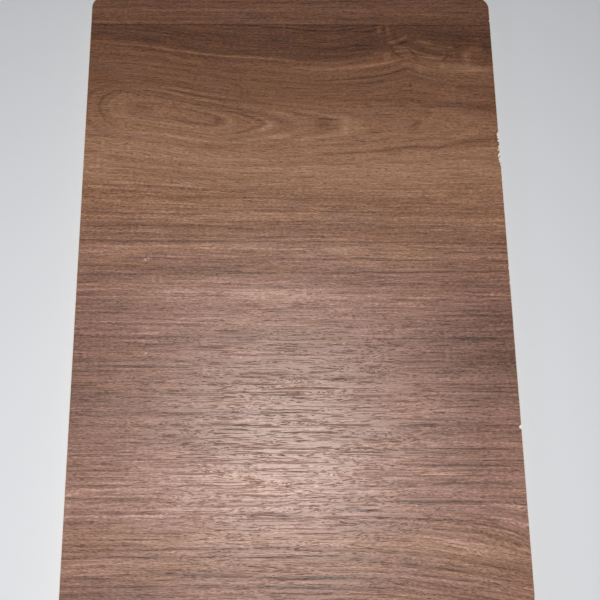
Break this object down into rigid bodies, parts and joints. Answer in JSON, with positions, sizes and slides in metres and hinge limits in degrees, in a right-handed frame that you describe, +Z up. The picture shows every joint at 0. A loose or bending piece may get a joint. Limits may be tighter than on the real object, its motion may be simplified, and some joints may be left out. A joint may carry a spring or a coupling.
{
  "type": "melamine-faced plywood panel",
  "caption": "Flat rectangular plywood panel faced with dark walnut-look melamine, with rounded corners, eased pale edges and one chipped long edge.",
  "frame": {"origin": "middle of the underside, where the panel lies on the floor", "axes": "+Z up out of the show face, +Y along the length towards the far end, +X across the width towards the chipped long edge"},
  "size_m": [0.3, 0.6, 0.018],
  "materials": {
    "melamine_face": "satin"
  },
  "bodies": {
    "root": {"plywood_panel": "melamine_face"}
  },
  "joints": []
}
